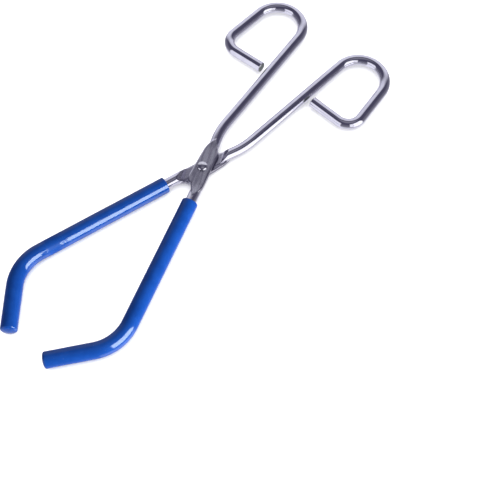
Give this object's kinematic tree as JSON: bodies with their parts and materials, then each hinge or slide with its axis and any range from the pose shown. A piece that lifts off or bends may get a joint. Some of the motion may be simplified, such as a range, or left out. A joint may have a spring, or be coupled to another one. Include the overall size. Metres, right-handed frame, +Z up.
{
  "type": "crucible tongs",
  "caption": "Chrome-plated bent-rod crucible tongs with plastic-sleeved hooked jaws, finger loops and a riveted half-lap pivot.",
  "frame": {"origin": "middle of the base of the bounding box, on the plane the tongs lie on", "axes": "+Y from the jaws to the finger loops, +Z up out of the plane the levers swing in, +X towards the lower lever's finger loop"},
  "size_m": [0.099, 0.2582, 0.009],
  "materials": {
    "chrome_rod": "bright chrome plating",
    "rivet_steel": "bright plated steel",
    "blue_pvc": "glossy soft PVC"
  },
  "bodies": {
    "lower_arm": {"lower_lever": "chrome_rod", "left_jaw_sleeve": "blue_pvc", "pivot_rivet": "rivet_steel"},
    "upper_arm": {"upper_lever": "chrome_rod", "right_jaw_sleeve": "blue_pvc"}
  },
  "joints": [
    {"name": "pivot", "type": "hinge", "parent": "lower_arm", "child": "upper_arm", "pos_m": [0, 0.00904, 0.0045], "axis": [0, 0, 1], "range_deg": [-7.5, 85]}
  ]
}
